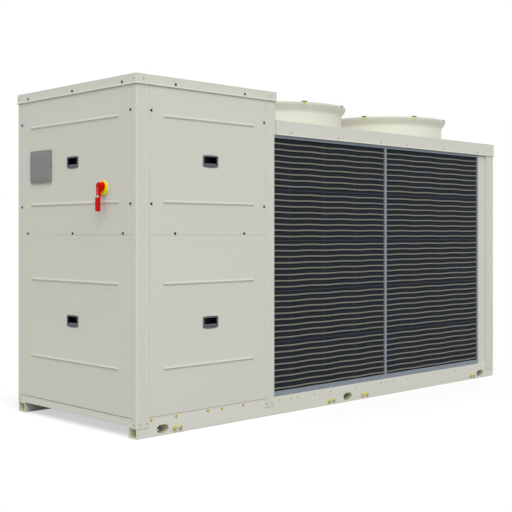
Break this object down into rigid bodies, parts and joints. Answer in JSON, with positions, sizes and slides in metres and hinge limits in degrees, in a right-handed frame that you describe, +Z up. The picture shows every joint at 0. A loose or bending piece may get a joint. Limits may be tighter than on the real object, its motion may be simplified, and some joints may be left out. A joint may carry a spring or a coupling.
{
  "type": "air-cooled water chiller",
  "caption": "Air-cooled water chiller: sheet-steel cabinet with a display cover and a main switch, a long coil section with two roof fans, on a base of box rails.",
  "frame": {"origin": "on the floor, under the middle of the overall box", "axes": "+X along the length away from the control end, -Y the front long side, +Z up"},
  "size_m": [3.226, 1.175, 1.805],
  "materials": {
    "cabinet_paint": "satin",
    "frame_paint": "satin",
    "cowl_paint": "satin",
    "galvanised": "satin",
    "coil_fins": "satin",
    "guard_wire": "satin",
    "rotor": "matte",
    "grip_plastic": "matte",
    "display_plastic": "matte",
    "switch_yellow": "satin",
    "switch_red": "satin",
    "pipe_steel": "satin"
  },
  "bodies": {
    "chiller": {"base_rail_front": "frame_paint", "base_rail_rear": "frame_paint", "base_tray": "galvanised", "cabinet_cover": "cabinet_paint", "coil_frame_front": "galvanised", "coil_frame_rear": "galvanised", "coil_front_1": "coil_fins", "coil_front_2": "coil_fins", "coil_rear_1": "coil_fins", "coil_rear_2": "coil_fins", "cross_beams": "frame_paint", "display_base": "display_plastic", "end_beam_control": "frame_paint", "end_beam_far": "frame_paint", "end_panel_lower": "cabinet_paint", "end_panel_upper": "cabinet_paint", "fan_cowl_1": "cowl_paint", "fan_cowl_2": "cowl_paint", "fan_deck": "cabinet_paint", "fan_guard_1": "guard_wire", "fan_guard_2": "guard_wire", "fan_rotor_1": "rotor", "fan_rotor_2": "rotor", "far_panel_lower": "cabinet_paint", "far_panel_upper": "cabinet_paint", "front_panel_lower": "cabinet_paint", "front_panel_upper": "cabinet_paint", "grips_end": "grip_plastic", "grips_front": "grip_plastic", "grips_rear": "grip_plastic", "partition_panel": "cabinet_paint", "post_control_front": "cabinet_paint", "post_control_rear": "cabinet_paint", "post_far_front": "cabinet_paint", "post_far_rear": "cabinet_paint", "post_middle_front": "cabinet_paint", "post_middle_rear": "cabinet_paint", "rear_panel_lower": "cabinet_paint", "rear_panel_upper": "cabinet_paint", "switch_plate": "switch_yellow", "water_inlet": "pipe_steel", "water_outlet": "pipe_steel"},
    "display_cover": {"display_lid": "display_plastic"},
    "main_switch": {"switch_handle": "switch_red"}
  },
  "joints": [
    {"name": "display_cover_hinge", "type": "hinge", "parent": "chiller", "child": "display_cover", "pos_m": [-1.575, 0.3745, 1.3805], "axis": [0, 0, -1], "range_deg": [0, 95]},
    {"name": "main_switch_turn", "type": "hinge", "parent": "chiller", "child": "main_switch", "pos_m": [-1.5753, -0.3065, 1.242], "axis": [1, 0, 0], "range_deg": [0, 90]}
  ]
}
